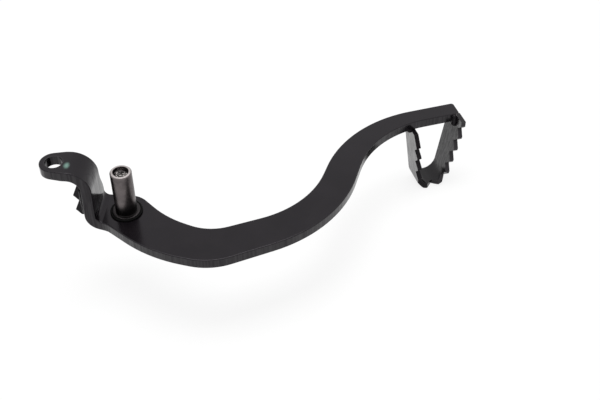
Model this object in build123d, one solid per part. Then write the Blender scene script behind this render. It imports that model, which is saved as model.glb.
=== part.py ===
"""Rear brake pedal of a motorbike: a joggled plate arm, its pivot shaft and a serrated foot pad.

Frame: the origin is on the pivot axis at the face of the shaft's shoulder, +Z runs along the shaft
towards the bike, +X runs forward along the arm's tip, and the boot presses from the -Y side.
The pieces are built with the arm's inner face at Z = 0 and then lowered by the shoulder's height.
Lengths are in millimetres and angles in degrees.
"""
import os
from math import acos, cos, degrees, radians, sin, tan

from build123d import *

# Arm plate
PLATE_THICKNESS = 6.0
EDGE_ROUND = 0.6
BOSS_RADIUS = 13.3
TIP_WIDTH = 10.8
TIP_ROAD_Y = 38.3
TIP_CORNER_RADIUS = 1.8

# Road-side edge of the arm, from the pivot to the tip
ROAD_FLANK_ANGLE = 25.0
ROAD_NECK = (20.5, -11.5)
ROAD_HEEL_X = 40.4
ROAD_HEEL_Y = -29.0
ROAD_FOOT_RUN = 58.5
ROAD_RISE_Y = -25.5
ROAD_RISER_RUN = 44.5
ROAD_TIP_RUN = 71.0
ROAD_NECK_RADIUS = 58.0
ROAD_HEEL_RADIUS = 27.0
ROAD_RISE_RADIUS = 59.0
ROAD_CREST_RADIUS = 80.0

# Boot-side edge of the arm, from the joggle to the tip, with its bends set against the road side's
FLARE_SETBACK = 4.6
BOOT_SHOULDER = (5.2, -34.3)
BOOT_HEEL_LAG = 5.1
BOOT_HEEL_Y = -53.0
BOOT_RISE_LEAD = 12.1
BOOT_RISE_Y = -44.4
BOOT_CREST_LEAD = 13.6
FLARE_RADIUS = 12.5
BOOT_SHOULDER_RADIUS = 84.0
BOOT_HEEL_RADIUS = 35.0
BOOT_RISE_RADIUS = 83.0
BOOT_CREST_RADIUS = 61.0

# Joggle and ear
EAR_ANGLE = 158.8
EAR_REACH = 36.0
EAR_RISE = 34.0
EAR_END_RADIUS = 8.0
EAR_HOLE_DIAMETER = 9.8
WEB_DISTANCE = 15.2
WEB_ROAD_WIDTH = 9.5
WEB_BOOT_WIDTH = 8.9
WEB_FOOT_WIDTH = 10.2
EAR_BLEND_SETBACK = 2.5
EAR_BLEND_RADIUS = 15.0
LOWER_BEND_RADIUS = 3.5
UPPER_BEND_RADIUS = 7.0

# Pivot shaft
SHAFT_DIAMETER = 12.0
SHAFT_LENGTH = 29.4
SHAFT_CHAMFER = 0.7
SHOULDER_DIAMETER = 15.6
SHOULDER_HEIGHT = 1.3
SPIGOT_DIAMETER = 10.0
SPIGOT_PROUD = 1.5
MOUTH_DIAMETER = 8.6
MOUTH_DEPTH = 2.4
TAPPED_DIAMETER = 6.8
TAPPED_LENGTH = 18.0
DRILL_POINT_ANGLE = 59.0
RING_CORD = 1.3

# Foot pad
PAD_THICKNESS = 2.9
PAD_TREAD = 9.5
PAD_DEPTH = 49.5
PAD_SPAN = 33.0
PAD_FLOOR_SETBACK = 8.7
PAD_FLOOR_SPAN = 18.8
PAD_REAR_RADIUS = 6.0
PAD_FRONT_RADIUS = 10.0
PAD_KNEE_RADIUS = 4.0
PAD_KNEE_DROP = 0.7
PAD_FLOOR_TAPER = 4.6
TOOTH_PITCH = 9.2
TOOTH_DEPTH = 3.8
TOOTH_LAND = 1.5
FIRST_NOTCH = 7.6
REAR_PLAIN = 9.5
REAR_TAPER = 4.0

# Spring hook
HOOK_THICKNESS = 3.0
HOOK_INSET = 2.6
HOOK_BASE = 2.5
HOOK_TOOTH = 2.9
HOOK_PITCH = 10.5
HOOK_FLANK = 7.0
HOOK_TEETH = 2
HOOK_LOW_END = 2.0

# Weld beads
PAD_BEAD_RADIUS = 2.3
HOOK_BEAD_RADIUS = 1.5
SHAFT_BEAD_RADIUS = 2.4
BEAD_STANDOFF = 0.5

# Allowance by which a cutting tool runs past the material
RUN_OUT = 5.0
PARALLEL = 1e-4
RIGHT_ANGLE = 90.0

# Frames of the joggle: its plan, with x along the ear, and its section, with y upwards
EAR_AXIS = Vector(cos(radians(EAR_ANGLE)), sin(radians(EAR_ANGLE)), 0)
EAR_PLAN = Plane(origin=(0, 0, 0), x_dir=EAR_AXIS, z_dir=(0, 0, 1))
EAR_SECTION = Plane(origin=(0, 0, 0), x_dir=EAR_AXIS, z_dir=EAR_AXIS.cross(Vector(0, 0, 1)))

ROAD_RISE_X = ROAD_HEEL_X + ROAD_FOOT_RUN
ROAD_CREST_X = ROAD_RISE_X + ROAD_RISER_RUN
ARM_REACH = ROAD_CREST_X + ROAD_TIP_RUN
BOOT_HEEL_X = ROAD_HEEL_X - BOOT_HEEL_LAG
BOOT_RISE_X = ROAD_RISE_X + BOOT_RISE_LEAD
BOOT_CREST_X = ROAD_CREST_X + BOOT_CREST_LEAD
TIP_BOOT_Y = TIP_ROAD_Y - TIP_WIDTH
TREAD_Y = TIP_BOOT_Y - PAD_TREAD
PAD_REAR_X = ARM_REACH - PAD_SPAN
PAD_FLOOR_FRONT_X = ARM_REACH - PAD_FLOOR_SETBACK
PAD_FLOOR_REAR_X = PAD_FLOOR_FRONT_X - PAD_FLOOR_SPAN
WEB_BACK = WEB_DISTANCE + PLATE_THICKNESS
UPPER_TANGENT = EAR_RISE - PLATE_THICKNESS - UPPER_BEND_RADIUS


def bent_sheet():
    """The plate's thickness through the joggle, wider than the arm on every side."""
    span = 2 * (ARM_REACH + EAR_REACH)
    outer_lower = LOWER_BEND_RADIUS + PLATE_THICKNESS
    outer_upper = UPPER_BEND_RADIUS + PLATE_THICKNESS
    ear_end = EAR_REACH + EAR_END_RADIUS + RUN_OUT
    top = FilletPolyline(
        (-span, 0), (WEB_DISTANCE, 0), (WEB_DISTANCE, EAR_RISE), (ear_end, EAR_RISE),
        radius=[LOWER_BEND_RADIUS, outer_upper],
    )
    under = FilletPolyline(
        (-span, -PLATE_THICKNESS),
        (WEB_BACK, -PLATE_THICKNESS),
        (WEB_BACK, EAR_RISE - PLATE_THICKNESS),
        (ear_end, EAR_RISE - PLATE_THICKNESS),
        radius=[outer_lower, UPPER_BEND_RADIUS],
    )
    ends = [Line(top @ 0, under @ 0), Line(top @ 1, under @ 1)]
    section = make_face([top, under, *ends])
    return extrude(EAR_SECTION * section, amount=span, both=True)


def arm_plan():
    """Plan of the flat arm up to the back of the joggle's web."""
    flank = radians(ROAD_FLANK_ANGLE)
    flare = EAR_PLAN.from_local_coords(Vector(WEB_DISTANCE - FLARE_SETBACK, WEB_FOOT_WIDTH))
    back_boot = EAR_PLAN.from_local_coords(Vector(WEB_BACK, WEB_FOOT_WIDTH))
    back_road = EAR_PLAN.from_local_coords(Vector(WEB_BACK, -BOSS_RADIUS))
    boss_start = EAR_PLAN.from_local_coords(Vector(0, -BOSS_RADIUS))
    boss_middle = Vector(BOSS_RADIUS, 0).rotate(Axis.Z, (EAR_ANGLE - RIGHT_ANGLE + ROAD_FLANK_ANGLE) / 2)
    boss_end = Vector(BOSS_RADIUS * cos(flank), BOSS_RADIUS * sin(flank))
    boss = ThreePointArc(boss_start, boss_middle, boss_end)
    road = FilletPolyline(
        boss_end,
        ROAD_NECK,
        (ROAD_HEEL_X, ROAD_HEEL_Y),
        (ROAD_RISE_X, ROAD_RISE_Y),
        (ROAD_CREST_X, TIP_ROAD_Y),
        (ARM_REACH, TIP_ROAD_Y),
        radius=[ROAD_NECK_RADIUS, ROAD_HEEL_RADIUS, ROAD_RISE_RADIUS, ROAD_CREST_RADIUS],
    )
    boot = FilletPolyline(
        back_boot,
        flare,
        BOOT_SHOULDER,
        (BOOT_HEEL_X, BOOT_HEEL_Y),
        (BOOT_RISE_X, BOOT_RISE_Y),
        (BOOT_CREST_X, TIP_BOOT_Y),
        (ARM_REACH, TIP_BOOT_Y),
        radius=[
            FLARE_RADIUS,
            BOOT_SHOULDER_RADIUS,
            BOOT_HEEL_RADIUS,
            BOOT_RISE_RADIUS,
            BOOT_CREST_RADIUS,
        ],
    )
    joggle = Polyline(back_boot, back_road, boss_start)
    return make_face([joggle, boss, road, Line(road @ 1, boot @ 1), boot])


def waist(side, foot_width, head_width):
    """One side of the web's face, upright at both bends and drawn in between them."""
    foot = (side * foot_width, LOWER_BEND_RADIUS)
    head = (side * head_width, UPPER_TANGENT)
    middle = (side * (foot_width + head_width) / 2, (LOWER_BEND_RADIUS + UPPER_TANGENT) / 2)
    return [TangentArc(foot, middle, tangent=(0, 1)), TangentArc(head, middle, tangent=(0, -1))]


def web_front():
    """Face of the web between its two bends, wider at the arm than at the ear."""
    boot = waist(1, WEB_FOOT_WIDTH, WEB_BOOT_WIDTH)
    road = waist(-1, BOSS_RADIUS, WEB_ROAD_WIDTH)
    lower = Line(boot[0] @ 0, road[0] @ 0)
    upper = Line(boot[1] @ 0, road[1] @ 0)
    return make_face([*boot, *road, lower, upper])


def ear_side(side, width):
    """One side of the ear: straight through the upper bend, then drawn in to the round end."""
    centre = Vector(EAR_REACH, 0)
    kink = Vector(WEB_BACK + UPPER_BEND_RADIUS + EAR_BLEND_SETBACK, side * width)
    spoke = kink - centre
    turn = degrees(acos(EAR_END_RADIUS / spoke.length))
    touch = centre + (spoke.normalized() * EAR_END_RADIUS).rotate(Axis.Z, -side * turn)
    return FilletPolyline((WEB_DISTANCE, side * width), kink, touch, radius=EAR_BLEND_RADIUS)


def ear_plan():
    """Plan of the ear, from the web's face to its round end."""
    boot = ear_side(1, WEB_BOOT_WIDTH)
    road = ear_side(-1, WEB_ROAD_WIDTH)
    nose = ThreePointArc(road @ 1, (EAR_REACH + EAR_END_RADIUS, 0), boot @ 1)
    return make_face([road, nose, boot, Line(boot @ 0, road @ 0)])


def is_skin(face):
    """Whether a face of the arm is rolled plate surface and no cut edge."""
    normal = face.normal_at()
    bend_axis = EAR_SECTION.z_dir
    if face.geom_type == GeomType.CYLINDER:
        return abs(face.axis_of_rotation.direction.dot(bend_axis)) > 1 - PARALLEL
    return max(abs(normal.Z), abs(normal.dot(EAR_AXIS))) > 1 - PARALLEL


def rounded_rim(arm):
    """The arm with its cut rim rounded all the way round."""
    skins = arm.faces().filter_by(is_skin)
    rim = arm.faces().filter_by(is_skin, reverse=True).edges()
    return fillet(rim.filter_by(lambda edge: edge in skins.edges()), EDGE_ROUND)


def arm_blank():
    """The flat arm with square edges, up to the back of the joggle's web."""
    return extrude(Pos(0, 0, -PLATE_THICKNESS) * arm_plan(), PLATE_THICKNESS)


def pedal_arm():
    """The joggled arm with the shaft's seat and the ear's hole."""
    sheet = bent_sheet()
    plan = extrude(Pos(0, 0, -PLATE_THICKNESS) * arm_plan(), PLATE_THICKNESS + LOWER_BEND_RADIUS)
    plan = fillet(plan.edges().filter_by(Axis.Z).group_by(Axis.X)[-1], TIP_CORNER_RADIUS)
    plate = sheet & plan
    across = Plane(origin=(0, 0, 0), x_dir=EAR_PLAN.y_dir, z_dir=EAR_AXIS)
    web = sheet & extrude(across.offset(WEB_DISTANCE) * web_front(), PLATE_THICKNESS)
    ear = sheet & extrude(EAR_PLAN.offset(UPPER_TANGENT) * ear_plan(), EAR_RISE - UPPER_TANGENT)
    arm = rounded_rim(plate + web + ear)
    seat = extrude(Pos(0, 0, -PLATE_THICKNESS) * Circle(SPIGOT_DIAMETER / 2), PLATE_THICKNESS)
    hole_plane = EAR_PLAN.offset(EAR_RISE - PLATE_THICKNESS)
    hole = extrude(hole_plane * Pos(EAR_REACH, 0) * Circle(EAR_HOLE_DIAMETER / 2), PLATE_THICKNESS)
    return arm - seat - hole


def pivot_shaft():
    """The turned shaft: spigot in the arm, shoulder on it, bearing length, counterbore and tapped hole."""
    low = -PLATE_THICKNESS - SPIGOT_PROUD
    radius = SHAFT_DIAMETER / 2
    profile = make_face(
        Polyline(
            (0, low),
            (SPIGOT_DIAMETER / 2, low),
            (SPIGOT_DIAMETER / 2, 0),
            (SHOULDER_DIAMETER / 2, 0),
            (SHOULDER_DIAMETER / 2, SHOULDER_HEIGHT),
            (radius, SHOULDER_HEIGHT),
            (radius, SHAFT_LENGTH - SHAFT_CHAMFER),
            (radius - SHAFT_CHAMFER, SHAFT_LENGTH),
            (0, SHAFT_LENGTH),
            close=True,
        )
    )
    mouth = MOUTH_DIAMETER / 2
    tapped = TAPPED_DIAMETER / 2
    mouth_floor = SHAFT_LENGTH - MOUTH_DEPTH
    cone_start = mouth_floor - (mouth - tapped)
    tapped_floor = cone_start - TAPPED_LENGTH
    drill_tip = tapped_floor - tapped / tan(radians(DRILL_POINT_ANGLE))
    hole = make_face(
        Polyline(
            (0, SHAFT_LENGTH),
            (mouth, SHAFT_LENGTH),
            (mouth, mouth_floor),
            (tapped, cone_start),
            (tapped, tapped_floor),
            (0, drill_tip),
            close=True,
        )
    )
    return revolve(Plane.XZ * (profile - hole), Axis.Z)


def shaft_o_ring():
    """The dust ring that lies on the arm round the shaft's shoulder."""
    cord = Pos(SHOULDER_DIAMETER / 2 + RING_CORD / 2, RING_CORD / 2) * Circle(RING_CORD / 2)
    return revolve(Plane.XZ * cord, Axis.Z)


def pad_path():
    """Middle line of the foot pad's strip, from the front leg's top to past the rear leg's top."""
    half = PAD_THICKNESS / 2
    front = ARM_REACH - half
    floor = half - PAD_DEPTH
    return FilletPolyline(
        (front, 0),
        (front, -PLATE_THICKNESS - PAD_KNEE_DROP),
        (PAD_FLOOR_FRONT_X - half, floor),
        (PAD_FLOOR_REAR_X + half, floor),
        (PAD_REAR_X + half, 0),
        radius=[PAD_KNEE_RADIUS, PAD_FRONT_RADIUS, PAD_REAR_RADIUS],
    )


def tooth_notch(path, distance):
    """One V notch across the strip, square to the bent strip at a distance along it."""
    along = path.tangent_at(distance, position_mode=PositionMode.LENGTH)
    spot = path.position_at(distance, position_mode=PositionMode.LENGTH)
    tread = Vector(0, 1, 0)
    face = Plane(origin=(spot.X, TREAD_Y, spot.Z), x_dir=along, z_dir=along.cross(tread))
    half_width = (TOOTH_PITCH - TOOTH_LAND) / 2
    past = half_width * (TOOTH_DEPTH + RUN_OUT) / TOOTH_DEPTH
    notch = make_face(Polyline((-past, -RUN_OUT), (past, -RUN_OUT), (0, TOOTH_DEPTH), close=True))
    return extrude(face * notch, PAD_THICKNESS, both=True)


def rear_leg_taper():
    """What is cut off the boot side of the rear leg, so that it narrows up to the arm."""
    top = -PLATE_THICKNESS
    section = make_face(
        Polyline(
            (TREAD_Y, top - REAR_PLAIN),
            (TREAD_Y + REAR_TAPER, top),
            (TREAD_Y + REAR_TAPER, top + RUN_OUT),
            (TREAD_Y - RUN_OUT, top + RUN_OUT),
            (TREAD_Y - RUN_OUT, top - REAR_PLAIN),
            close=True,
        )
    )
    return extrude(Plane.YZ * section, (PAD_FLOOR_REAR_X + PAD_FLOOR_FRONT_X) / 2)


def foot_pad():
    """The serrated strip bent to a U: it stands under the arm, and its front leg also beside the tip."""
    path = Plane.XZ * pad_path()
    strip = trace(pad_path(), PAD_THICKNESS)
    above = Rectangle(2 * ARM_REACH, PLATE_THICKNESS + RUN_OUT, align=(Align.CENTER, Align.MIN))
    under_arm = strip - Pos(0, -PLATE_THICKNESS) * above
    beside_tip = Rectangle(PAD_THICKNESS, PLATE_THICKNESS, align=(Align.MAX, Align.MAX))
    pad = extrude(Plane.XZ.offset(-TIP_ROAD_Y) * under_arm, TIP_WIDTH + PAD_TREAD)
    pad += extrude(Plane.XZ.offset(-TIP_BOOT_Y) * Pos(ARM_REACH, 0) * beside_tip, PAD_TREAD)
    taper = make_face(
        Polyline(
            (TIP_ROAD_Y, -PLATE_THICKNESS),
            (TIP_ROAD_Y + RUN_OUT, -PLATE_THICKNESS),
            (TIP_ROAD_Y + RUN_OUT, -PAD_DEPTH),
            (TIP_ROAD_Y - PAD_FLOOR_TAPER, -PAD_DEPTH),
            close=True,
        )
    )
    pad -= extrude(Plane.YZ * taper, ARM_REACH + RUN_OUT)
    pad -= rear_leg_taper()
    count = int((path.length - PLATE_THICKNESS - REAR_PLAIN - FIRST_NOTCH) / TOOTH_PITCH) + 1
    for index in range(count):
        pad -= tooth_notch(path, FIRST_NOTCH + index * TOOTH_PITCH)
    return pad


def spring_hook(arm):
    """The toothed rib on the back of the web, seated on the bend behind it."""
    root = WEB_BACK + HOOK_BASE
    inside = WEB_BACK - PLATE_THICKNESS / 2
    points = [(inside, HOOK_LOW_END)]
    for index in range(HOOK_TEETH):
        start = HOOK_LOW_END + index * HOOK_PITCH
        points.append((root, start))
        points.append((root + HOOK_TOOTH, start + HOOK_PITCH - HOOK_FLANK))
    top = HOOK_LOW_END + HOOK_TEETH * HOOK_PITCH
    points.append((root, top))
    points.append((inside, top))
    profile = make_face(Polyline(*points, close=True))
    face = EAR_SECTION.offset(HOOK_INSET - WEB_BOOT_WIDTH)
    return extrude(face * profile, HOOK_THICKNESS) - arm


def bead(start, end, radius):
    """A straight round-ended weld bead between two points."""
    run = Line(start, end)
    foot = TangentArc((radius, 0), (0, -radius), tangent=(0, -1))
    head = TangentArc((radius, run.length), (0, run.length + radius), tangent=(0, 1))
    outline = make_face([foot, Line(foot @ 0, head @ 0), head, Line(foot @ 1, head @ 1)])
    return Plane(origin=start, z_dir=run % 0) * revolve(Plane.XZ * outline, Axis.Z)


def front_pad_weld(pad):
    """Bead up the arm's boot-side edge and along its under face, inside the front leg."""
    x = ARM_REACH - PAD_THICKNESS - BEAD_STANDOFF
    boot = TIP_BOOT_Y - BEAD_STANDOFF
    under = -PLATE_THICKNESS - BEAD_STANDOFF
    upright = bead((x, boot, under), (x, boot, -PAD_BEAD_RADIUS), PAD_BEAD_RADIUS)
    along = bead((x, boot, under), (x, TIP_ROAD_Y - PAD_BEAD_RADIUS, under), PAD_BEAD_RADIUS)
    return upright + along - arm_blank() - pad


def rear_pad_weld(pad):
    """Bead along the rear leg's outer face under the arm, lapping the arm's boot-side edge."""
    lean = (PAD_FLOOR_REAR_X - PAD_REAR_X) / (PAD_DEPTH - PAD_THICKNESS / 2)
    outer = PAD_REAR_X + lean * PLATE_THICKNESS - BEAD_STANDOFF
    boot = TIP_BOOT_Y - BEAD_STANDOFF
    road = TIP_ROAD_Y - PAD_BEAD_RADIUS
    under = -PLATE_THICKNESS - BEAD_STANDOFF
    return bead((outer, boot, under), (outer, road, under), PAD_BEAD_RADIUS) - arm_blank() - pad


def hook_weld(arm, hook):
    """Bead along the boot side of the toothed rib."""
    side = WEB_BOOT_WIDTH - HOOK_INSET + BEAD_STANDOFF
    back = WEB_BACK + BEAD_STANDOFF
    foot = LOWER_BEND_RADIUS + HOOK_BEAD_RADIUS
    head = UPPER_TANGENT - HOOK_BEAD_RADIUS
    start = EAR_PLAN.from_local_coords(Vector(back, side, foot))
    end = EAR_PLAN.from_local_coords(Vector(back, side, head))
    return bead(start, end, HOOK_BEAD_RADIUS) - arm - hook


def shaft_weld():
    """Ring bead between the spigot's end and the arm's outer face."""
    side = SPIGOT_DIAMETER / 2
    corner = (side, -PLATE_THICKNESS)
    toe = (side + SHAFT_BEAD_RADIUS, -PLATE_THICKNESS)
    end = (side, -PLATE_THICKNESS - SPIGOT_PROUD)
    section = make_face([Line(corner, toe), RadiusArc(toe, end, SHAFT_BEAD_RADIUS), Line(end, corner)])
    return revolve(Plane.XZ * section, Axis.Z)


def main():
    """Build every piece and write each as a node of its own."""
    arm = pedal_arm()
    pad = foot_pad()
    hook = spring_hook(arm)
    nodes = {
        "pedal_arm": arm,
        "pivot_shaft": pivot_shaft(),
        "shaft_o_ring": shaft_o_ring(),
        "foot_pad": pad,
        "spring_hook": hook,
        "front_pad_weld": front_pad_weld(pad),
        "rear_pad_weld": rear_pad_weld(pad),
        "hook_weld": hook_weld(arm, hook),
        "shaft_weld": shaft_weld(),
    }
    os.makedirs("parts", exist_ok=True)
    for name, shape in nodes.items():
        export_step(Pos(0, 0, -SHOULDER_HEIGHT) * shape, f"parts/{name}.step")


main()
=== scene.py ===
"""Studio picture of a motorbike's rear brake pedal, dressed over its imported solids.

Sizes in the classes are millimetres in the part's own frame: the origin is on the pivot axis at the
face of the shaft's shoulder, +Z runs along the shaft and +X forward along the arm's tip.
"""

import logging
import math
from dataclasses import dataclass
from enum import Enum
from typing import Dict, List, Optional, Sequence, Tuple, Union

import bmesh
import bpy
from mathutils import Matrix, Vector, noise


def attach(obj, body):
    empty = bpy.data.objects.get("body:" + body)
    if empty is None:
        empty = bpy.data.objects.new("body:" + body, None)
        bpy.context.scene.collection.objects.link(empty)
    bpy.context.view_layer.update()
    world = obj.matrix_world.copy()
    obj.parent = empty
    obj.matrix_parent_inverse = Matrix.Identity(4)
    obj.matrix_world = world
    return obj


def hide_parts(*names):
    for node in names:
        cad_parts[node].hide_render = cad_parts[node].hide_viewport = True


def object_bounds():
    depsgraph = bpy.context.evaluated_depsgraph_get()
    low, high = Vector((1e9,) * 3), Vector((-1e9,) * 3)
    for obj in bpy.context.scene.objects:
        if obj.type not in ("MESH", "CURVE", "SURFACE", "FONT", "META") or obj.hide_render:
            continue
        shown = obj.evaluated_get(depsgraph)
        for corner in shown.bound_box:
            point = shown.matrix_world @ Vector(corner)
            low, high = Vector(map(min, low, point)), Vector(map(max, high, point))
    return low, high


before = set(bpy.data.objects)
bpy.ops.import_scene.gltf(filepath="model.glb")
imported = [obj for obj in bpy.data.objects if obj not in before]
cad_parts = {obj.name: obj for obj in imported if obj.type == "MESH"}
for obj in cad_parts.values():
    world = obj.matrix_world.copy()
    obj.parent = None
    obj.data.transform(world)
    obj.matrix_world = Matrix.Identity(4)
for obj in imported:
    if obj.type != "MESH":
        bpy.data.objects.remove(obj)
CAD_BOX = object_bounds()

LOG = logging.getLogger("brake_pedal")
MM = 0.001
PER_MM = 1000.0
BODY = "root"

Colour = Tuple[float, float, float, float]
Point = Tuple[float, float, float]
Socket = bpy.types.NodeSocket
Plug = Union[Socket, float, Point, Colour]

WHITE: Colour = (1.0, 1.0, 1.0, 1.0)


class Slot(Enum):
    """Material slots of the part's record."""

    PAINT = "black_paint"
    STEEL = "shaft_steel"
    RUBBER = "ring_rubber"


class Effect(Enum):
    """Shared surface effects, each one shader node group."""

    SKIN = "paint_skin"
    WEAR = "edge_wear"
    SPECKS = "fine_specks"


@dataclass
class NodeDesk:
    """A node tree with short calls that place and wire its nodes."""

    tree: bpy.types.NodeTree

    def add(
        self, kind: str, plugs: Optional[Dict[str, Plug]] = None, **settings: object
    ) -> bpy.types.Node:
        """Place a node.

        Args:
            kind: Blender's name of the node type.
            plugs: Values or sockets for the node's inputs, by input name.
            **settings: Properties of the node itself.

        Returns:
            The new node.
        """
        node = self.tree.nodes.new(kind)
        for key, value in settings.items():
            setattr(node, key, value)
        for key, value in (plugs or {}).items():
            self.plug(node.inputs[key], value)
        return node

    def plug(self, target: Socket, value: Plug) -> None:
        """Set an input to a value, or link it to another node's output.

        Args:
            target: The input.
            value: The value, or the output's socket.
        """
        if isinstance(value, bpy.types.NodeSocket):
            self.tree.links.new(value, target)
        else:
            target.default_value = value

    def math(self, operation: str, first: Plug, second: Plug = 0.0, clamp: bool = False) -> Socket:
        """Combine two values with a Math node.

        Args:
            operation: The Math node's operation.
            first: First value or socket.
            second: Second value or socket.
            clamp: Whether the result is held between 0 and 1.

        Returns:
            The result's socket.
        """
        node = self.add("ShaderNodeMath", operation=operation, use_clamp=clamp)
        self.plug(node.inputs[0], first)
        self.plug(node.inputs[1], second)
        return node.outputs[0]

    def vector(self, operation: str, first: Plug, second: Plug = (0.0, 0.0, 0.0)) -> bpy.types.Node:
        """Combine two vectors with a Vector Math node.

        Args:
            operation: The node's operation.
            first: First vector or socket.
            second: Second vector or socket.

        Returns:
            The node.
        """
        node = self.add("ShaderNodeVectorMath", operation=operation)
        self.plug(node.inputs[0], first)
        self.plug(node.inputs[1], second)
        return node

    def remap(
        self, value: Plug, low: Plug, high: Plug, to_low: float = 0.0, to_high: float = 1.0
    ) -> Socket:
        """Map a value smoothly from one range to another.

        Args:
            value: The value or socket.
            low: Start of the value's range.
            high: End of the value's range.
            to_low: Result at the start.
            to_high: Result at the end.

        Returns:
            The result's socket.
        """
        plugs = {"Value": value, "From Min": low, "From Max": high, "To Min": to_low, "To Max": to_high}
        return self.add("ShaderNodeMapRange", plugs, interpolation_type="SMOOTHSTEP").outputs[0]

    def blend(self, share: Plug, first: Plug, second: Plug) -> Socket:
        """Mix two colours.

        Args:
            share: Share of the second colour.
            first: First colour or socket.
            second: Second colour or socket.

        Returns:
            The mixed colour's socket.
        """
        node = self.add("ShaderNodeMix", data_type="RGBA")
        self.plug(node.inputs[0], share)
        self.plug(node.inputs[6], first)
        self.plug(node.inputs[7], second)
        return node.outputs[2]

    def noise(self, where: Socket, size: Plug, detail: float = 2.0, roughness: float = 0.5) -> Socket:
        """Smooth noise.

        Args:
            where: Coordinates in metres.
            size: Size of its features in millimetres.
            detail: Number of octaves.
            roughness: Strength of the finer octaves.

        Returns:
            The noise value's socket, between 0 and 1.
        """
        scale = self.math("DIVIDE", PER_MM, size)
        plugs = {"Vector": where, "Scale": scale, "Detail": detail, "Roughness": roughness}
        return self.add("ShaderNodeTexNoise", plugs).outputs[0]

    def place(self) -> Socket:
        """Coordinates in the part's own frame.

        Returns:
            The coordinates' socket, in metres.
        """
        return self.add("ShaderNodeTexCoord").outputs["Object"]


class EffectShelf:
    """Builds each shared effect's node group once and hands it out."""

    steep_from: float = 0.75
    steep_full: float = 0.25
    cut_from: float = 0.45
    cut_full: float = 0.85
    streak_stretch: float = 0.035
    streak_range: Tuple[float, float] = (0.36, 0.64)
    edge_range: Tuple[float, float] = (0.004, 0.12)
    edge_samples: int = 6
    patch_fade: float = 0.08
    speck_fade: float = 0.05

    def __init__(self) -> None:
        """Build every group."""
        self.groups: Dict[Effect, bpy.types.NodeTree] = {}
        self._skin()
        self._wear()
        self._specks()

    def use(self, desk: NodeDesk, effect: Effect, plugs: Dict[str, Plug]) -> bpy.types.Node:
        """Place an effect in a material.

        Args:
            desk: The material's node desk.
            effect: The effect.
            plugs: Values for the group's inputs.

        Returns:
            The group node.
        """
        return desk.add("ShaderNodeGroup", plugs, node_tree=self.groups[effect])

    def _start(
        self, effect: Effect, inputs: Sequence[str], outputs: Sequence[str]
    ) -> Tuple[NodeDesk, Dict[str, Socket], bpy.types.Node]:
        """Open a new group.

        Args:
            effect: The effect it makes.
            inputs: Names of its value inputs.
            outputs: Names of its value outputs.

        Returns:
            The group's desk, its input sockets by name, and its output node.
        """
        tree = bpy.data.node_groups.new(effect.value, "ShaderNodeTree")
        for name in inputs:
            tree.interface.new_socket(name=name, in_out="INPUT", socket_type="NodeSocketFloat")
        for name in outputs:
            tree.interface.new_socket(name=name, in_out="OUTPUT", socket_type="NodeSocketFloat")
        self.groups[effect] = tree
        desk = NodeDesk(tree)
        entry = desk.add("NodeGroupInput")
        return desk, {name: entry.outputs[name] for name in inputs}, desk.add("NodeGroupOutput")

    def _skin(self) -> None:
        """Paint film: its fine waviness, cloudy gloss, drawn streaks on steep faces, and cut sides."""
        sizes = ("Peel Size", "Streak Size", "Streak Share", "Cloud Size")
        desk, given, out = self._start(Effect.SKIN, sizes, ("Height", "Streak", "Cloud", "Drawn", "Cut"))
        place = desk.place()
        normal = desk.add("ShaderNodeNewGeometry").outputs["Normal"]
        facing = desk.add("ShaderNodeSeparateXYZ", {"Vector": normal})
        steep = desk.remap(desk.math("ABSOLUTE", facing.outputs["Z"]), self.steep_from, self.steep_full)
        sideways = desk.math("ABSOLUTE", facing.outputs["Y"])
        stretched = desk.vector("MULTIPLY", place, (1.0, 1.0, self.streak_stretch)).outputs[0]
        peel = desk.noise(place, given["Peel Size"], 1.5)
        streak = desk.noise(stretched, given["Streak Size"], 3.0, 0.6)
        cloud = desk.noise(place, given["Cloud Size"], 4.0, 0.6)
        height = desk.math("ADD", peel, desk.math("MULTIPLY", streak, given["Streak Share"]))
        desk.plug(out.inputs["Height"], height)
        desk.plug(out.inputs["Streak"], streak)
        desk.plug(out.inputs["Cloud"], cloud)
        drawn = desk.math("MULTIPLY", steep, desk.remap(streak, *self.streak_range))
        desk.plug(out.inputs["Drawn"], drawn)
        desk.plug(out.inputs["Cut"], desk.remap(sideways, self.cut_from, self.cut_full))

    def _wear(self) -> None:
        """An edge mask, which the paint uses for its painted edge highlight, and broken-up wear along
        edges.
        """
        desk, given, out = self._start(Effect.WEAR, ("Reach", "Patch Size", "Bite"), ("Edge", "Wear"))
        reach = desk.math("MULTIPLY", given["Reach"], MM)
        rounded = desk.add("ShaderNodeBevel", {"Radius": reach}, samples=self.edge_samples)
        flat = desk.add("ShaderNodeNewGeometry").outputs["Normal"]
        turn = desk.vector("DOT_PRODUCT", rounded.outputs[0], flat).outputs["Value"]
        edge = desk.remap(desk.math("SUBTRACT", 1.0, turn), *self.edge_range)
        patch = desk.noise(desk.place(), given["Patch Size"], 5.0, 0.65)
        bitten = desk.remap(patch, given["Bite"], desk.math("ADD", given["Bite"], self.patch_fade))
        wear = desk.math("MULTIPLY", edge, bitten)
        desk.plug(out.inputs["Edge"], edge)
        desk.plug(out.inputs["Wear"], wear)

    def _specks(self) -> None:
        """Sparse fine specks."""
        desk, given, out = self._start(Effect.SPECKS, ("Speck Size", "Rarity"), ("Specks",))
        grain = desk.noise(desk.place(), given["Speck Size"], 2.0, 0.7)
        specks = desk.remap(grain, given["Rarity"], desk.math("ADD", given["Rarity"], self.speck_fade))
        desk.plug(out.inputs["Specks"], specks)


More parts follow.
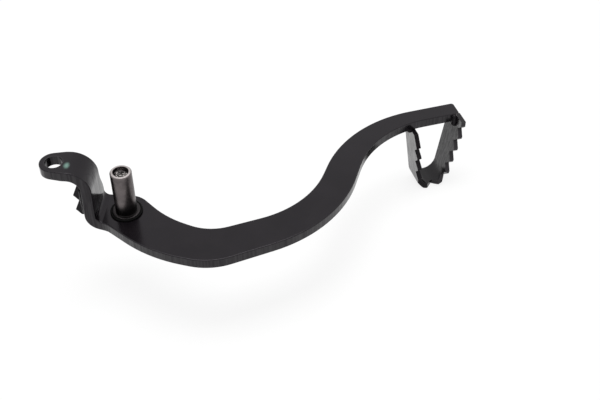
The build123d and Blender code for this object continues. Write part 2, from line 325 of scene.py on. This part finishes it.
@dataclass(frozen=True)
class PaintMark:
    """A dab of marking paint on an upward face."""

    centre: Point = (-27.2, 8.1, 32.7)
    turn: float = -17.0
    half_width: float = 1.7
    half_length: float = 2.6
    strength: float = 0.86
    colour: Colour = (0.19, 0.335, 0.28, 1.0)
    film: float = 0.6
    wobble: float = 0.7
    wobble_scale: float = 620.0
    fade: Tuple[float, float] = (1.35, 0.05)

    def mask(self, desk: NodeDesk) -> Socket:
        """Where the dab lies.

        Args:
            desk: The material's node desk.

        Returns:
            A mask socket, 1 in the dab.
        """
        place = desk.place()
        plugs = {"Vector": place, "Scale": self.wobble_scale, "Detail": 3.0}
        ragged = desk.add("ShaderNodeTexNoise", plugs).outputs["Color"]
        swing = desk.vector("SUBTRACT", ragged, (0.5, 0.5, 0.5)).outputs[0]
        shift = desk.vector("MULTIPLY", swing, (self.wobble * MM, self.wobble * MM, 0.0)).outputs[0]
        middle = tuple(c * MM for c in self.centre)
        moved = desk.vector("ADD", desk.vector("SUBTRACT", place, middle).outputs[0], shift).outputs[0]
        plugs = {"Vector": moved, "Angle": math.radians(-self.turn)}
        turned = desk.add("ShaderNodeVectorRotate", plugs, rotation_type="Z_AXIS").outputs[0]
        size = tuple(1 / (half * MM) for half in (self.half_width, self.half_length, self.film))
        reach = desk.vector("LENGTH", desk.vector("MULTIPLY", turned, size).outputs[0]).outputs["Value"]
        return desk.remap(reach, *self.fade, 0.0, self.strength)


@dataclass(frozen=True)
class PaintFinish:
    """Black paint over drawn steel."""

    name: str
    colour: Colour = (0.0042, 0.0033, 0.0044, 1.0)
    cloud_colour: Colour = (0.0066, 0.0053, 0.0068, 1.0)
    gloss_tint: Colour = (0.98, 0.92, 1.0, 1.0)
    ior: float = 1.34
    coat_base: float = 0.0
    coat_share: float = 0.55
    cut_matt: float = 0.7
    roughness: Tuple[float, float] = (0.13, 0.22)
    peel_size: float = 1.3
    streak_size: float = 1.1
    streak_share: float = 0.3
    cloud_size: float = 26.0
    bump: float = 0.06
    bump_depth: float = 0.05
    wear_reach: float = 0.5
    wear_patch: float = 5.0
    wear_bite: float = 0.66
    wear_dulling: float = 0.15
    # Lighter paint along the edges: thinner paint there, and a painted highlight along the rounded edges.
    edge_highlight_colour: Colour = (0.05, 0.047, 0.05, 1.0)
    edge_share: float = 0.7
    bare_colour: Colour = (0.34, 0.33, 0.32, 1.0)
    speck_size: float = 0.8
    speck_rarity: float = 0.71
    speck_share: float = 0.25
    speck_colour: Colour = (0.05, 0.05, 0.05, 1.0)
    streak_dulling: float = 0.4
    coat_roughness: float = 0.2
    # Cut sides forward of a given x are lightened: a painted reflection.
    cut_reflection_from: Optional[float] = None
    cut_reflection_run: float = 6.0
    cut_reflection_colour: Colour = (0.044, 0.041, 0.045, 1.0)
    mark: Optional[PaintMark] = None
    mark_dulling: float = 0.3

    def build(self, shelf: EffectShelf) -> bpy.types.Material:
        """Make the material.

        Args:
            shelf: The shared effects.

        Returns:
            The material.
        """
        material = bpy.data.materials.new(self.name)
        material.use_nodes = True
        desk = NodeDesk(material.node_tree)
        shader = desk.tree.nodes["Principled BSDF"]
        skin = shelf.use(desk, Effect.SKIN, {
            "Peel Size": self.peel_size,
            "Streak Size": self.streak_size,
            "Streak Share": self.streak_share,
            "Cloud Size": self.cloud_size,
        })
        wear = shelf.use(desk, Effect.WEAR, {
            "Reach": self.wear_reach, "Patch Size": self.wear_patch, "Bite": self.wear_bite,
        })
        colour = self._colour(desk, shelf, skin, wear)
        streaks = desk.math("MULTIPLY", skin.outputs["Streak"], self.streak_dulling)
        rough = desk.remap(desk.math("ADD", skin.outputs["Cloud"], streaks), 0.4, 1.0, *self.roughness)
        worn = desk.math("MULTIPLY", wear.outputs["Wear"], self.wear_dulling)
        rough = desk.math("ADD", rough, worn)
        if self.mark:
            dab = self.mark.mask(desk)
            colour = desk.blend(dab, colour, self.mark.colour)
            chalky = desk.math("MULTIPLY", dab, self.mark_dulling)
            rough = desk.math("ADD", rough, chalky, clamp=True)
        bump = desk.add("ShaderNodeBump", {
            "Strength": self.bump, "Distance": self.bump_depth * MM, "Height": skin.outputs["Height"],
        })
        desk.plug(shader.inputs["Base Color"], colour)
        desk.plug(shader.inputs["Roughness"], rough)
        desk.plug(shader.inputs["Metallic"], wear.outputs["Wear"])
        desk.plug(shader.inputs["Normal"], bump.outputs[0])
        if self.coat_base or self.coat_share:
            drawn = desk.math("MULTIPLY", skin.outputs["Drawn"], self.coat_share)
            coat = desk.math("ADD", drawn, self.coat_base)
            matt = desk.math("MULTIPLY", skin.outputs["Cut"], self.cut_matt)
            kept = desk.math("SUBTRACT", 1.0, matt)
            desk.plug(shader.inputs["Coat Weight"], desk.math("MULTIPLY", coat, kept, clamp=True))
        shader.inputs["IOR"].default_value = self.ior
        shader.inputs["Specular Tint"].default_value = self.gloss_tint
        shader.inputs["Coat Roughness"].default_value = self.coat_roughness
        return material

    def _colour(
        self, desk: NodeDesk, shelf: EffectShelf, skin: bpy.types.Node, wear: bpy.types.Node
    ) -> Socket:
        """Colour of the paint, without the dab; edges are lightened as a painted highlight, and, where
        asked, cut sides far forward as a painted reflection.

        Args:
            desk: The material's node desk.
            shelf: The shared effects.
            skin: The material's paint film group.
            wear: The material's edge wear group.

        Returns:
            The colour's socket.
        """
        plugs = {"Speck Size": self.speck_size, "Rarity": self.speck_rarity}
        specks = shelf.use(desk, Effect.SPECKS, plugs).outputs["Specks"]
        clouds = desk.remap(skin.outputs["Cloud"], 0.35, 0.7)
        # Lighter edges: thinner paint and a painted highlight along the rounded edges.
        edge_highlight = desk.math("MULTIPLY", wear.outputs["Edge"], self.edge_share)
        dusty = desk.math("MULTIPLY", specks, self.speck_share)
        colour = desk.blend(clouds, self.colour, self.cloud_colour)
        colour = desk.blend(edge_highlight, colour, self.edge_highlight_colour)
        colour = desk.blend(dusty, colour, self.speck_colour)
        colour = desk.blend(wear.outputs["Wear"], colour, self.bare_colour)
        # Painted reflection: cut sides lightened from the given x forward.
        if self.cut_reflection_from is not None:
            forward = desk.add("ShaderNodeSeparateXYZ", {"Vector": desk.place()}).outputs["X"]
            full = (self.cut_reflection_from + self.cut_reflection_run) * MM
            reached = desk.remap(forward, self.cut_reflection_from * MM, full)
            cut_reflection = desk.math("MULTIPLY", reached, skin.outputs["Cut"])
            colour = desk.blend(cut_reflection, colour, self.cut_reflection_colour)
        return colour


@dataclass(frozen=True)
class TurnedSteel:
    """Turned steel, dark along the bearing length and bright where it was faced and tapped, with painted
    shade on the mouth's wall and towards the foot.
    """

    name: str = "turned_steel"
    side_colour: Colour = (0.165, 0.145, 0.145, 1.0)
    # Dark smears, also used as painted shade on the mouth's wall.
    smear_and_shade_colour: Colour = (0.095, 0.084, 0.085, 1.0)
    rim_colour: Colour = (0.42, 0.385, 0.38, 1.0)
    thread_colour: Colour = (0.66, 0.62, 0.60, 1.0)
    oil_colour: Colour = (0.03, 0.028, 0.028, 1.0)
    # Darker towards the foot: paint on the shoulder and spigot, and painted shade fading up the side.
    foot_paint_and_shade_colour: Colour = (0.03, 0.027, 0.028, 1.0)
    end_height: float = 28.1
    end_fade: Tuple[float, float] = (0.45, 0.1)
    hole_floor: Tuple[float, float] = (3.0, 4.0)
    mouth_wall: Tuple[float, float] = (4.5, 4.4)
    thread_wall: Tuple[float, float] = (4.0, 3.75)
    foot_fade: Tuple[float, float] = (10.0, 3.0)
    ring_size: float = 0.22
    band_size: float = 3.5
    band_share: float = 0.35
    edge_share: float = 0.4
    oil_size: float = 1.6
    roughness: Tuple[float, float] = (0.26, 0.42)
    thread_polish: float = 0.14
    bump: float = 0.12
    bump_depth: float = 0.02

    def build(self, shelf: EffectShelf) -> bpy.types.Material:
        """Make the material.

        Args:
            shelf: The shared effects.

        Returns:
            The material.
        """
        material = bpy.data.materials.new(self.name)
        material.use_nodes = True
        desk = NodeDesk(material.node_tree)
        shader = desk.tree.nodes["Principled BSDF"]
        place = desk.place()
        parts = desk.add("ShaderNodeSeparateXYZ", {"Vector": place})
        plugs = {"X": parts.outputs["X"], "Y": parts.outputs["Y"]}
        plan = desk.add("ShaderNodeCombineXYZ", plugs).outputs[0]
        radius = desk.vector("LENGTH", plan).outputs["Value"]
        height = parts.outputs["Z"]
        lathe = desk.math("SUBTRACT", height, radius)
        along = desk.add("ShaderNodeCombineXYZ", {"X": lathe}).outputs[0]
        rings = desk.noise(along, self.ring_size, 3.0, 0.7)
        bands = desk.noise(along, self.band_size, 3.0, 0.6)
        end = desk.remap(height, *((self.end_height - fade) * MM for fade in self.end_fade))
        hole = desk.remap(height, *(level * MM for level in self.hole_floor))
        mouth = desk.remap(radius, *(wall * MM for wall in self.mouth_wall))
        threads = desk.remap(radius, *(wall * MM for wall in self.thread_wall))
        foot = desk.remap(height, *(level * MM for level in self.foot_fade))
        # Painted shade on the mouth's wall, above the spigot.
        inside = desk.math("MULTIPLY", hole, mouth)
        thread = desk.math("MULTIPLY", hole, threads)
        skin = shelf.use(desk, Effect.SKIN, {
            "Peel Size": 2.0, "Streak Size": 0.9, "Streak Share": 0.6, "Cloud Size": 7.0,
        })
        wear = shelf.use(desk, Effect.WEAR, {"Reach": 0.3, "Patch Size": 3.0, "Bite": 0.4})
        smears = desk.remap(skin.outputs["Cloud"], 0.3, 0.7)
        banded = desk.math("MULTIPLY", desk.remap(bands, 0.35, 0.7), self.band_share)
        bright_edge = desk.math("MULTIPLY", wear.outputs["Wear"], self.edge_share)
        dull = desk.blend(smears, self.side_colour, self.smear_and_shade_colour)
        dull = desk.blend(banded, dull, self.smear_and_shade_colour)
        dull = desk.blend(bright_edge, dull, self.rim_colour)
        # Painted shade fading up the side towards the foot, over the paint on the shoulder and spigot.
        dull = desk.blend(foot, dull, self.foot_paint_and_shade_colour)
        colour = desk.blend(end, dull, self.rim_colour)
        # Painted shade: the mouth's wall takes the dark smear colour.
        colour = desk.blend(inside, colour, self.smear_and_shade_colour)
        oily = desk.remap(desk.noise(place, self.oil_size, 3.0, 0.6), 0.42, 0.58)
        colour = desk.blend(thread, colour, desk.blend(oily, self.thread_colour, self.oil_colour))
        matt = desk.math("ADD", rings, skin.outputs["Cloud"])
        rough = desk.remap(matt, 0.7, 1.4, *self.roughness)
        polish = desk.math("MULTIPLY", thread, self.thread_polish)
        bump = desk.add("ShaderNodeBump", {
            "Strength": self.bump, "Distance": self.bump_depth * MM, "Height": rings,
        })
        desk.plug(shader.inputs["Base Color"], colour)
        desk.plug(shader.inputs["Roughness"], desk.math("SUBTRACT", rough, polish))
        desk.plug(shader.inputs["Normal"], bump.outputs[0])
        shader.inputs["Metallic"].default_value = 1.0
        return material


@dataclass(frozen=True)
class RingRubber:
    """Moulded black rubber with a faint bloom."""

    name: str = "ring_rubber"
    colour: Colour = (0.0022, 0.0022, 0.0022, 1.0)
    bloom_colour: Colour = (0.0055, 0.0054, 0.0053, 1.0)
    roughness: Tuple[float, float] = (0.5, 0.65)
    gloss: float = 0.06
    bump: float = 0.2
    bump_depth: float = 0.03

    def build(self, shelf: EffectShelf) -> bpy.types.Material:
        """Make the material.

        Args:
            shelf: The shared effects.

        Returns:
            The material.
        """
        material = bpy.data.materials.new(self.name)
        material.use_nodes = True
        desk = NodeDesk(material.node_tree)
        shader = desk.tree.nodes["Principled BSDF"]
        skin = shelf.use(desk, Effect.SKIN, {
            "Peel Size": 0.5, "Streak Size": 0.4, "Streak Share": 0.1, "Cloud Size": 4.0,
        })
        specks = shelf.use(desk, Effect.SPECKS, {"Speck Size": 0.35, "Rarity": 0.6}).outputs["Specks"]
        hazy = desk.remap(skin.outputs["Cloud"], 0.45, 0.75, 0.0, 0.6)
        colour = desk.blend(desk.math("MAXIMUM", hazy, specks), self.colour, self.bloom_colour)
        rough = desk.remap(skin.outputs["Cloud"], 0.3, 0.7, *self.roughness)
        bump = desk.add("ShaderNodeBump", {
            "Strength": self.bump, "Distance": self.bump_depth * MM, "Height": skin.outputs["Height"],
        })
        desk.plug(shader.inputs["Base Color"], colour)
        desk.plug(shader.inputs["Roughness"], rough)
        desk.plug(shader.inputs["Normal"], bump.outputs[0])
        shader.inputs["Specular IOR Level"].default_value = self.gloss
        return material


def new_piece(
    name: str, mesh: bpy.types.Mesh, material: bpy.types.Material, slot: Slot, *nodes: str
) -> bpy.types.Object:
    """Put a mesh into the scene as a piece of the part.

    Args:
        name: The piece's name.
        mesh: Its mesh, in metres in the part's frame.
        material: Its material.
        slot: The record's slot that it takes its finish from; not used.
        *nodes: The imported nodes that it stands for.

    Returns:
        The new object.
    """
    piece = bpy.data.objects.new(name, mesh)
    bpy.context.scene.collection.objects.link(piece)
    mesh.materials.clear()
    mesh.materials.append(material)
    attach(piece, BODY)
    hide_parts(*nodes)
    LOG.info("%s: %d faces, stands for %s", name, len(mesh.polygons), ", ".join(nodes))
    return piece


@dataclass
class PivotShaft:
    """The turned shaft with its tapped end."""

    radius: float = 6.0
    top: float = 28.1
    chamfer: float = 0.7
    shoulder_radius: float = 7.8
    shoulder_foot: float = -1.3
    spigot_radius: float = 5.0
    spigot_end: float = -8.8
    edge: float = 0.12
    mouth_radius: float = 4.3
    mouth_depth: float = 2.4
    core_radius: float = 3.4
    root_radius: float = 3.95
    pitch: float = 1.25
    turns: int = 14
    steps: int = 14
    crest_share: float = 0.12
    flank_share: float = 0.64
    drill_depth: float = 2.0
    segments: int = 128
    sharp_angle: float = 28.0

    def outside(self) -> List[Tuple[float, float]]:
        """Outer outline, from the spigot's end up and into the mouth.

        Returns:
            Radius and height of each corner, in millimetres.
        """
        soft = self.edge
        half = soft / 3
        return [
            (self.spigot_radius - soft, self.spigot_end),
            (self.spigot_radius - half, self.spigot_end + half),
            (self.spigot_radius, self.spigot_end + soft),
            (self.spigot_radius, self.shoulder_foot),
            (self.shoulder_radius - half, self.shoulder_foot),
            (self.shoulder_radius, self.shoulder_foot + half),
            (self.shoulder_radius, -soft),
            (self.shoulder_radius - half, -half),
            (self.shoulder_radius - soft, 0.0),
            (self.radius + soft, 0.0),
            (self.radius, soft),
            (self.radius, self.top - self.chamfer - soft),
            (self.radius - half, self.top - self.chamfer + half),
            (self.radius - self.chamfer + half, self.top - half),
            (self.radius - self.chamfer - soft, self.top),
            (self.mouth_radius + 2 * soft, self.top),
            (self.mouth_radius + half, self.top - half),
            (self.mouth_radius, self.top - 2 * soft),
            (self.mouth_radius, self.top - self.mouth_depth),
        ]

    def hole_start(self) -> float:
        """Height at which the tapped hole begins, under the mouth's cone.

        Returns:
            The height in millimetres.
        """
        return self.top - self.mouth_depth - (self.mouth_radius - self.core_radius)

    def wall(self, turns: float, fade: float) -> float:
        """Radius of the tapped wall, from the crest to the root.

        Args:
            turns: Turns of the thread from its start.
            fade: Share of the thread's full depth.

        Returns:
            The radius in millimetres.
        """
        rise = (abs(2 * (turns % 1.0) - 1) - self.crest_share) / self.flank_share
        depth = (self.root_radius - self.core_radius) * min(1.0, max(0.0, rise))
        return self.core_radius + fade * depth

    def spot(self, radius: float, height: float, share: float) -> Point:
        """Point on a ring round the shaft's axis.

        Args:
            radius: The ring's radius in millimetres.
            height: The ring's height in millimetres.
            share: Share of a full turn.

        Returns:
            The point in metres.
        """
        angle = share * math.tau
        return (radius * math.cos(angle) * MM, radius * math.sin(angle) * MM, height * MM)

    def rings(self) -> List[List[Point]]:
        """Rings of points from the spigot's end, over the top and down the tapped hole.

        Returns:
            The rings' points, in metres.
        """
        shares = [step / self.segments for step in range(self.segments)]
        rings = []
        for radius, height in self.outside():
            rings.append([self.spot(radius, height, share) for share in shares])
        count = self.turns * self.steps
        for index in range(count + 1):
            height = self.hole_start() - index * self.pitch / self.steps
            fade = min(1.0, (count - index) / self.steps)
            walls = [self.wall(index / self.steps + share, fade) for share in shares]
            rings.append([self.spot(radius, height, share) for radius, share in zip(walls, shares)])
        return rings

    def build(self, material: bpy.types.Material) -> bpy.types.Object:
        """Turn the shaft and tap its hole.

        Args:
            material: The turned steel.

        Returns:
            The shaft's object.
        """
        build = bmesh.new()
        rings = [[build.verts.new(spot) for spot in ring] for ring in self.rings()]
        bottom = self.hole_start() - self.turns * self.pitch
        base = build.verts.new((0, 0, self.spigot_end * MM))
        tip = build.verts.new((0, 0, (bottom - self.drill_depth) * MM))
        sides = [(step, (step + 1) % self.segments) for step in range(self.segments)]
        for lower, upper in zip(rings, rings[1:]):
            for step, following in sides:
                build.faces.new((lower[step], lower[following], upper[following], upper[step]))
        for step, following in sides:
            build.faces.new((base, rings[0][following], rings[0][step]))
            build.faces.new((tip, rings[-1][step], rings[-1][following]))
        mesh = bpy.data.meshes.new("pivot_shaft_turned")
        build.normal_update()
        build.to_mesh(mesh)
        build.free()
        mesh.shade_smooth()
        mesh.set_sharp_from_angle(angle=math.radians(self.sharp_angle))
        return new_piece("pivot_shaft_turned", mesh, material, Slot.STEEL, "pivot_shaft")


@dataclass
class WeldBead:
    """A rippled weld bead along straight runs or round a ring."""

    name: str
    node: str
    runs: Sequence[Tuple[Point, Point]]
    radius: float
    ripple: float = 1.5
    ripple_depth: float = 0.10
    ripple_slant: float = 0.28
    ripple_wander: float = 0.1
    lump: float = 0.10
    lump_pitch: float = 0.45
    lump_turn: float = 0.9
    lump_drop: float = 0.6
    run_offset: float = 7.3
    around: int = 28
    step: float = 0.3
    voxel: float = 0.22
    ease: float = 0.5
    ease_rounds: int = 2

    def skin(self, along: float, angle: float, length: float, seed: float) -> float:
        """Radius of the bead.

        Args:
            along: Distance along the run.
            angle: Direction round the run.
            length: The run's length.
            seed: Place of the run in the noise.

        Returns:
            The radius in millimetres.
        """
        round_side = math.cos(angle)
        wander = self.ripple_wander * noise.noise((along, seed, 0.0))
        phase = (along / self.ripple + self.ripple_slant * round_side + wander) % 1.0
        crown = math.sqrt(max(0.0, 1.0 - (2.0 * phase - 1.0) ** 2))
        scale = 1.0 - self.ripple_depth + self.ripple_depth * crown
        lumps = noise.noise((
            along * self.lump_pitch + seed, round_side * self.lump_turn, math.sin(angle) * self.lump_turn,
        ))
        cap = 1.0
        over = max(-along, along - length)
        if over > 0:
            cap = math.sqrt(max(0.0, 1.0 - (over / self.radius) ** 2))
        return self.radius * cap * (scale + self.lump * (lumps - self.lump_drop))

    def build(self, material: bpy.types.Material) -> bpy.types.Object:
        """Lay the bead.

        Args:
            material: The paint over it.

        Returns:
            The bead's object.
        """
        build = bmesh.new()
        for index, (start, end) in enumerate(self.runs):
            first = Vector(start)
            run = Vector(end) - first
            length = run.length
            heading = run.normalized()
            side = heading.orthogonal().normalized()
            over = heading.cross(side)
            count = int((length + 2 * self.radius) / self.step)
            rings = []
            for row in range(1, count):
                along = -self.radius + row * (length + 2 * self.radius) / count
                ring = []
                for turn in range(self.around):
                    angle = turn / self.around * math.tau
                    reach = self.skin(along, angle, length, self.run_offset * index)
                    outward = side * math.cos(angle) + over * math.sin(angle)
                    spot = first + heading * along + outward * reach
                    ring.append(build.verts.new(spot * MM))
                rings.append(ring)
            for lower, upper in zip(rings, rings[1:]):
                for turn in range(self.around):
                    following = (turn + 1) % self.around
                    build.faces.new((lower[turn], lower[following], upper[following], upper[turn]))
            build.faces.new(list(reversed(rings[0])))
            build.faces.new(rings[-1])
        return self.finish(build, material)

    def finish(self, build: bmesh.types.BMesh, material: bpy.types.Material) -> bpy.types.Object:
        """Melt the runs into one skin and put it into the scene.

        Args:
            build: The runs' mesh.
            material: The paint over it.

        Returns:
            The bead's object.
        """
        rough = bpy.data.meshes.new(self.name + "_runs")
        build.to_mesh(rough)
        build.free()
        holder = bpy.data.objects.new(self.name + "_runs", rough)
        bpy.context.scene.collection.objects.link(holder)
        melt = holder.modifiers.new("melt", "REMESH")
        melt.mode = "VOXEL"
        melt.voxel_size = self.voxel * MM
        melt.use_smooth_shade = True
        ease = holder.modifiers.new("ease", "SMOOTH")
        ease.factor = self.ease
        ease.iterations = self.ease_rounds
        view = bpy.context.evaluated_depsgraph_get()
        mesh = bpy.data.meshes.new_from_object(holder.evaluated_get(view))
        mesh.name = self.name
        bpy.data.objects.remove(holder)
        bpy.data.meshes.remove(rough)
        mesh.shade_smooth()
        return new_piece(self.name, mesh, material, Slot.PAINT, self.node)


@dataclass
class Welds:
    """The four welds, each along the corner that it fills.

    Tip and rear are places along x, boot and road along y, and under, top, foot and head along z.
    """

    tip: float = 211.0
    boot: float = 27.0
    road: float = 36.0
    under: float = -7.8
    upright_top: float = -3.6
    front_radius: float = 2.3
    rear: float = 181.7
    rear_boot: float = 28.6
    rear_under: float = -8.2
    rear_radius: float = 1.9
    ear_angle: float = 158.8
    web_back: float = 21.7
    hook_side: float = 6.8
    hook_foot: float = 3.7
    hook_head: float = 18.2
    hook_radius: float = 1.5
    hook_voxel: float = 0.16
    spigot_ring: float = 5.5
    spigot_under: float = -7.3
    spigot_radius: float = 1.45
    spigot_voxel: float = 0.18
    spigot_runs: int = 24
    fine_ripple: float = 1.1

    def front_leg(self) -> WeldBead:
        """Bead up the arm's boot side and along its under face, inside the pad's front leg.

        Returns:
            The bead.
        """
        corner = (self.tip, self.boot, self.under)
        upright = (corner, (self.tip, self.boot, self.upright_top))
        along = (corner, (self.tip, self.road, self.under))
        return WeldBead("front_pad_weld_bead", "front_pad_weld", [upright, along], self.front_radius)

    def rear_leg(self) -> WeldBead:
        """Bead along the pad's rear leg, under the arm.

        Returns:
            The bead.
        """
        along = ((self.rear, self.rear_boot, self.rear_under), (self.rear, self.road, self.rear_under))
        return WeldBead("rear_pad_weld_bead", "rear_pad_weld", [along], self.rear_radius)

    def toothed_rib(self) -> WeldBead:
        """Bead up the side of the toothed rib, on the back of the web.

        Returns:
            The bead.
        """
        turn = math.radians(self.ear_angle)
        ear = Vector((math.cos(turn), math.sin(turn), 0.0))
        across = Vector((-ear.y, ear.x, 0.0))
        root = ear * self.web_back + across * self.hook_side
        along = ((root.x, root.y, self.hook_foot), (root.x, root.y, self.hook_head))
        return WeldBead(
            "hook_weld_bead", "hook_weld", [along], self.hook_radius,
            ripple=self.fine_ripple, voxel=self.hook_voxel,
        )

    def shaft_spigot(self) -> WeldBead:
        """Ring bead round the shaft's spigot, behind the arm.

        Returns:
            The bead.
        """
        ring: List[Tuple[Point, Point]] = []
        for step in range(self.spigot_runs):
            turns = [math.tau * (step + share) / self.spigot_runs for share in (0, 1)]
            ring.append(tuple(
                (self.spigot_ring * math.cos(turn), self.spigot_ring * math.sin(turn), self.spigot_under)
                for turn in turns
            ))
        return WeldBead(
            "shaft_weld_bead", "shaft_weld", ring, self.spigot_radius,
            ripple=self.fine_ripple, voxel=self.spigot_voxel,
        )

    def build(self, material: bpy.types.Material) -> None:
        """Lay all four beads.

        Args:
            material: The paint over them.
        """
        for bead in (self.front_leg(), self.rear_leg(), self.toothed_rib(), self.shaft_spigot()):
            bead.build(material)


@dataclass
class SheetPiece:
    """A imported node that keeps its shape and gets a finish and, where asked, softened edges."""

    node: str
    soft_edge: float = 0.0
    soft_steps: int = 3
    soft_angle: float = 24.0
    plain_angle: float = 0.6

    def dress(self, material: bpy.types.Material) -> bpy.types.Object:
        """Give the node its finish.

        Args:
            material: The finish.

        Returns:
            The node's object.
        """
        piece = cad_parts[self.node]
        piece.data.materials.clear()
        piece.data.materials.append(material)
        if self.soft_edge:
            plain = piece.modifiers.new("plain_faces", "DECIMATE")
            plain.decimate_type = "DISSOLVE"
            plain.angle_limit = math.radians(self.plain_angle)
            soft = piece.modifiers.new("soft_edges", "BEVEL")
            soft.width = self.soft_edge * MM
            soft.segments = self.soft_steps
            soft.limit_method = "ANGLE"
            soft.angle_limit = math.radians(self.soft_angle)
            soft.harden_normals = True
        LOG.info("%s: dressed in %s", self.node, material.name)
        return piece


@dataclass
class Studio:
    """Camera, floor, lamp and surroundings."""

    azimuth: float = -17.0
    elevation: float = 43.0
    camera_place: Point = (-25.78, -416.37, 385.47)
    lens: float = 60.0
    film_width: float = 36.0
    ambient: float = 0.55
    floor_colour: Colour = (0.82, 0.82, 0.82, 1.0)
    floor_cloud_colour: Colour = (0.84, 0.84, 0.84, 1.0)
    floor_cloud_size: float = 400.0
    floor_seen_colour: Colour = (0.2, 0.2, 0.2, 1.0)
    floor_lift: float = 0.83
    floor_roughness: float = 0.9
    floor_half: float = 4.0
    floor_gap: float = 0.2
    lamp_place: Point = (60.0, 150.0, 900.0)
    lamp_aim: Point = (100.0, 0.0, 0.0)
    lamp_sides: Tuple[float, float] = (700.0, 500.0)
    lamp_power: float = 5.0

    def seen(self, desk: NodeDesk) -> Socket:
        """Mask of the rays that show the background: from the camera, a gloss or a glass.

        Args:
            desk: Node desk of the material or world.

        Returns:
            The mask's socket.
        """
        path = desk.add("ShaderNodeLightPath")
        gloss = desk.math("MAXIMUM", path.outputs["Is Camera Ray"], path.outputs["Is Glossy Ray"])
        return desk.math("MAXIMUM", gloss, path.outputs["Is Transmission Ray"])

    def camera(self) -> None:
        """Set the camera at the photograph's viewing angle."""
        data = bpy.data.cameras.new("camera")
        data.lens = self.lens
        data.sensor_width = self.film_width
        data.sensor_fit = "HORIZONTAL"
        data.clip_start = 0.01
        data.clip_end = 50.0
        camera = bpy.data.objects.new("camera", data)
        camera.location = Vector(self.camera_place) * MM
        camera.rotation_euler = (math.radians(90 - self.elevation), 0.0, math.radians(self.azimuth))
        bpy.context.scene.collection.objects.link(camera)
        bpy.context.scene.camera = camera

    def floor(self) -> None:
        """Lay the pale floor under the part."""
        half = self.floor_half
        level = CAD_BOX[0].z - self.floor_gap * MM
        mesh = bpy.data.meshes.new("studio_floor")
        corners = [(x * half, y * half, level) for x, y in ((-1, -1), (1, -1), (1, 1), (-1, 1))]
        mesh.from_pydata(corners, [], [(0, 1, 2, 3)])
        floor = bpy.data.objects.new("studio_floor", mesh)
        bpy.context.scene.collection.objects.link(floor)
        material = bpy.data.materials.new("pale_floor")
        material.use_nodes = True
        desk = NodeDesk(material.node_tree)
        shader = desk.tree.nodes["Principled BSDF"]
        cloud = desk.remap(desk.noise(desk.place(), self.floor_cloud_size, 3.0), 0.3, 0.7)
        seen = self.seen(desk)
        colour = desk.blend(cloud, self.floor_colour, self.floor_cloud_colour)
        desk.plug(shader.inputs["Base Color"], desk.blend(seen, colour, self.floor_seen_colour))
        shader.inputs["Roughness"].default_value = self.floor_roughness
        shader.inputs["Specular IOR Level"].default_value = 0.0
        shader.inputs["Emission Color"].default_value = WHITE
        lift = desk.math("MULTIPLY", seen, self.floor_lift)
        desk.plug(shader.inputs["Emission Strength"], lift)
        mesh.materials.append(material)

    def surroundings(self) -> None:
        """Light from all round, white where it is seen."""
        world = bpy.data.worlds.new("studio")
        world.use_nodes = True
        desk = NodeDesk(world.node_tree)
        backdrop = desk.tree.nodes["Background"]
        backdrop.inputs["Color"].default_value = WHITE
        strength = desk.remap(self.seen(desk), 0.0, 1.0, self.ambient, 1.0)
        desk.plug(backdrop.inputs["Strength"], strength)
        bpy.context.scene.world = world

    def lamp(self) -> None:
        """Hang the soft lamp over the part."""
        data = bpy.data.lights.new("overhead_softbox", "AREA")
        data.shape = "RECTANGLE"
        data.size = self.lamp_sides[0] * MM
        data.size_y = self.lamp_sides[1] * MM
        data.energy = self.lamp_power
        place = Vector(self.lamp_place)
        lamp = bpy.data.objects.new("overhead_softbox", data)
        lamp.location = place * MM
        lamp.rotation_euler = (Vector(self.lamp_aim) - place).to_track_quat("-Z", "Y").to_euler()
        bpy.context.scene.collection.objects.link(lamp)

    def build(self) -> None:
        """Set up the studio."""
        bpy.context.scene.view_settings.view_transform = "Standard"
        self.camera()
        self.floor()
        self.surroundings()
        self.lamp()
        LOG.info("studio: camera at azimuth %s, elevation %s", self.azimuth, self.elevation)


def main() -> None:
    """Dress every piece and set up the studio."""
    logging.basicConfig(level=logging.INFO, format="%(name)s %(message)s")
    shelf = EffectShelf()
    arm_paint = PaintFinish(
        "arm_paint", cut_matt=0.4, wear_reach=1.1, wear_bite=0.72, mark=PaintMark()
    ).build(shelf)
    # The pad's front leg carries a painted reflection on its cut sides.
    pad_paint = PaintFinish(
        "pad_paint", ior=1.2, coat_base=0.39, coat_share=0.42, cut_matt=0.95,
        wear_bite=0.6, streak_share=0.8, cut_reflection_from=197.0,
    ).build(shelf)
    weld_paint = PaintFinish(
        "weld_paint", ior=1.24, coat_share=0.1, roughness=(0.08, 0.15), wear_reach=0.2, wear_bite=0.8
    ).build(shelf)
    hook_paint = PaintFinish("hook_paint", ior=1.25, coat_share=0.0, roughness=(0.3, 0.4)).build(shelf)
    SheetPiece("pedal_arm").dress(arm_paint)
    SheetPiece("foot_pad", soft_edge=0.35).dress(pad_paint)
    SheetPiece("spring_hook", soft_edge=0.3).dress(hook_paint)
    SheetPiece("shaft_o_ring").dress(RingRubber().build(shelf))
    PivotShaft().build(TurnedSteel().build(shelf))
    Welds().build(weld_paint)
    Studio().build()


if __name__ == "__main__":
    main()
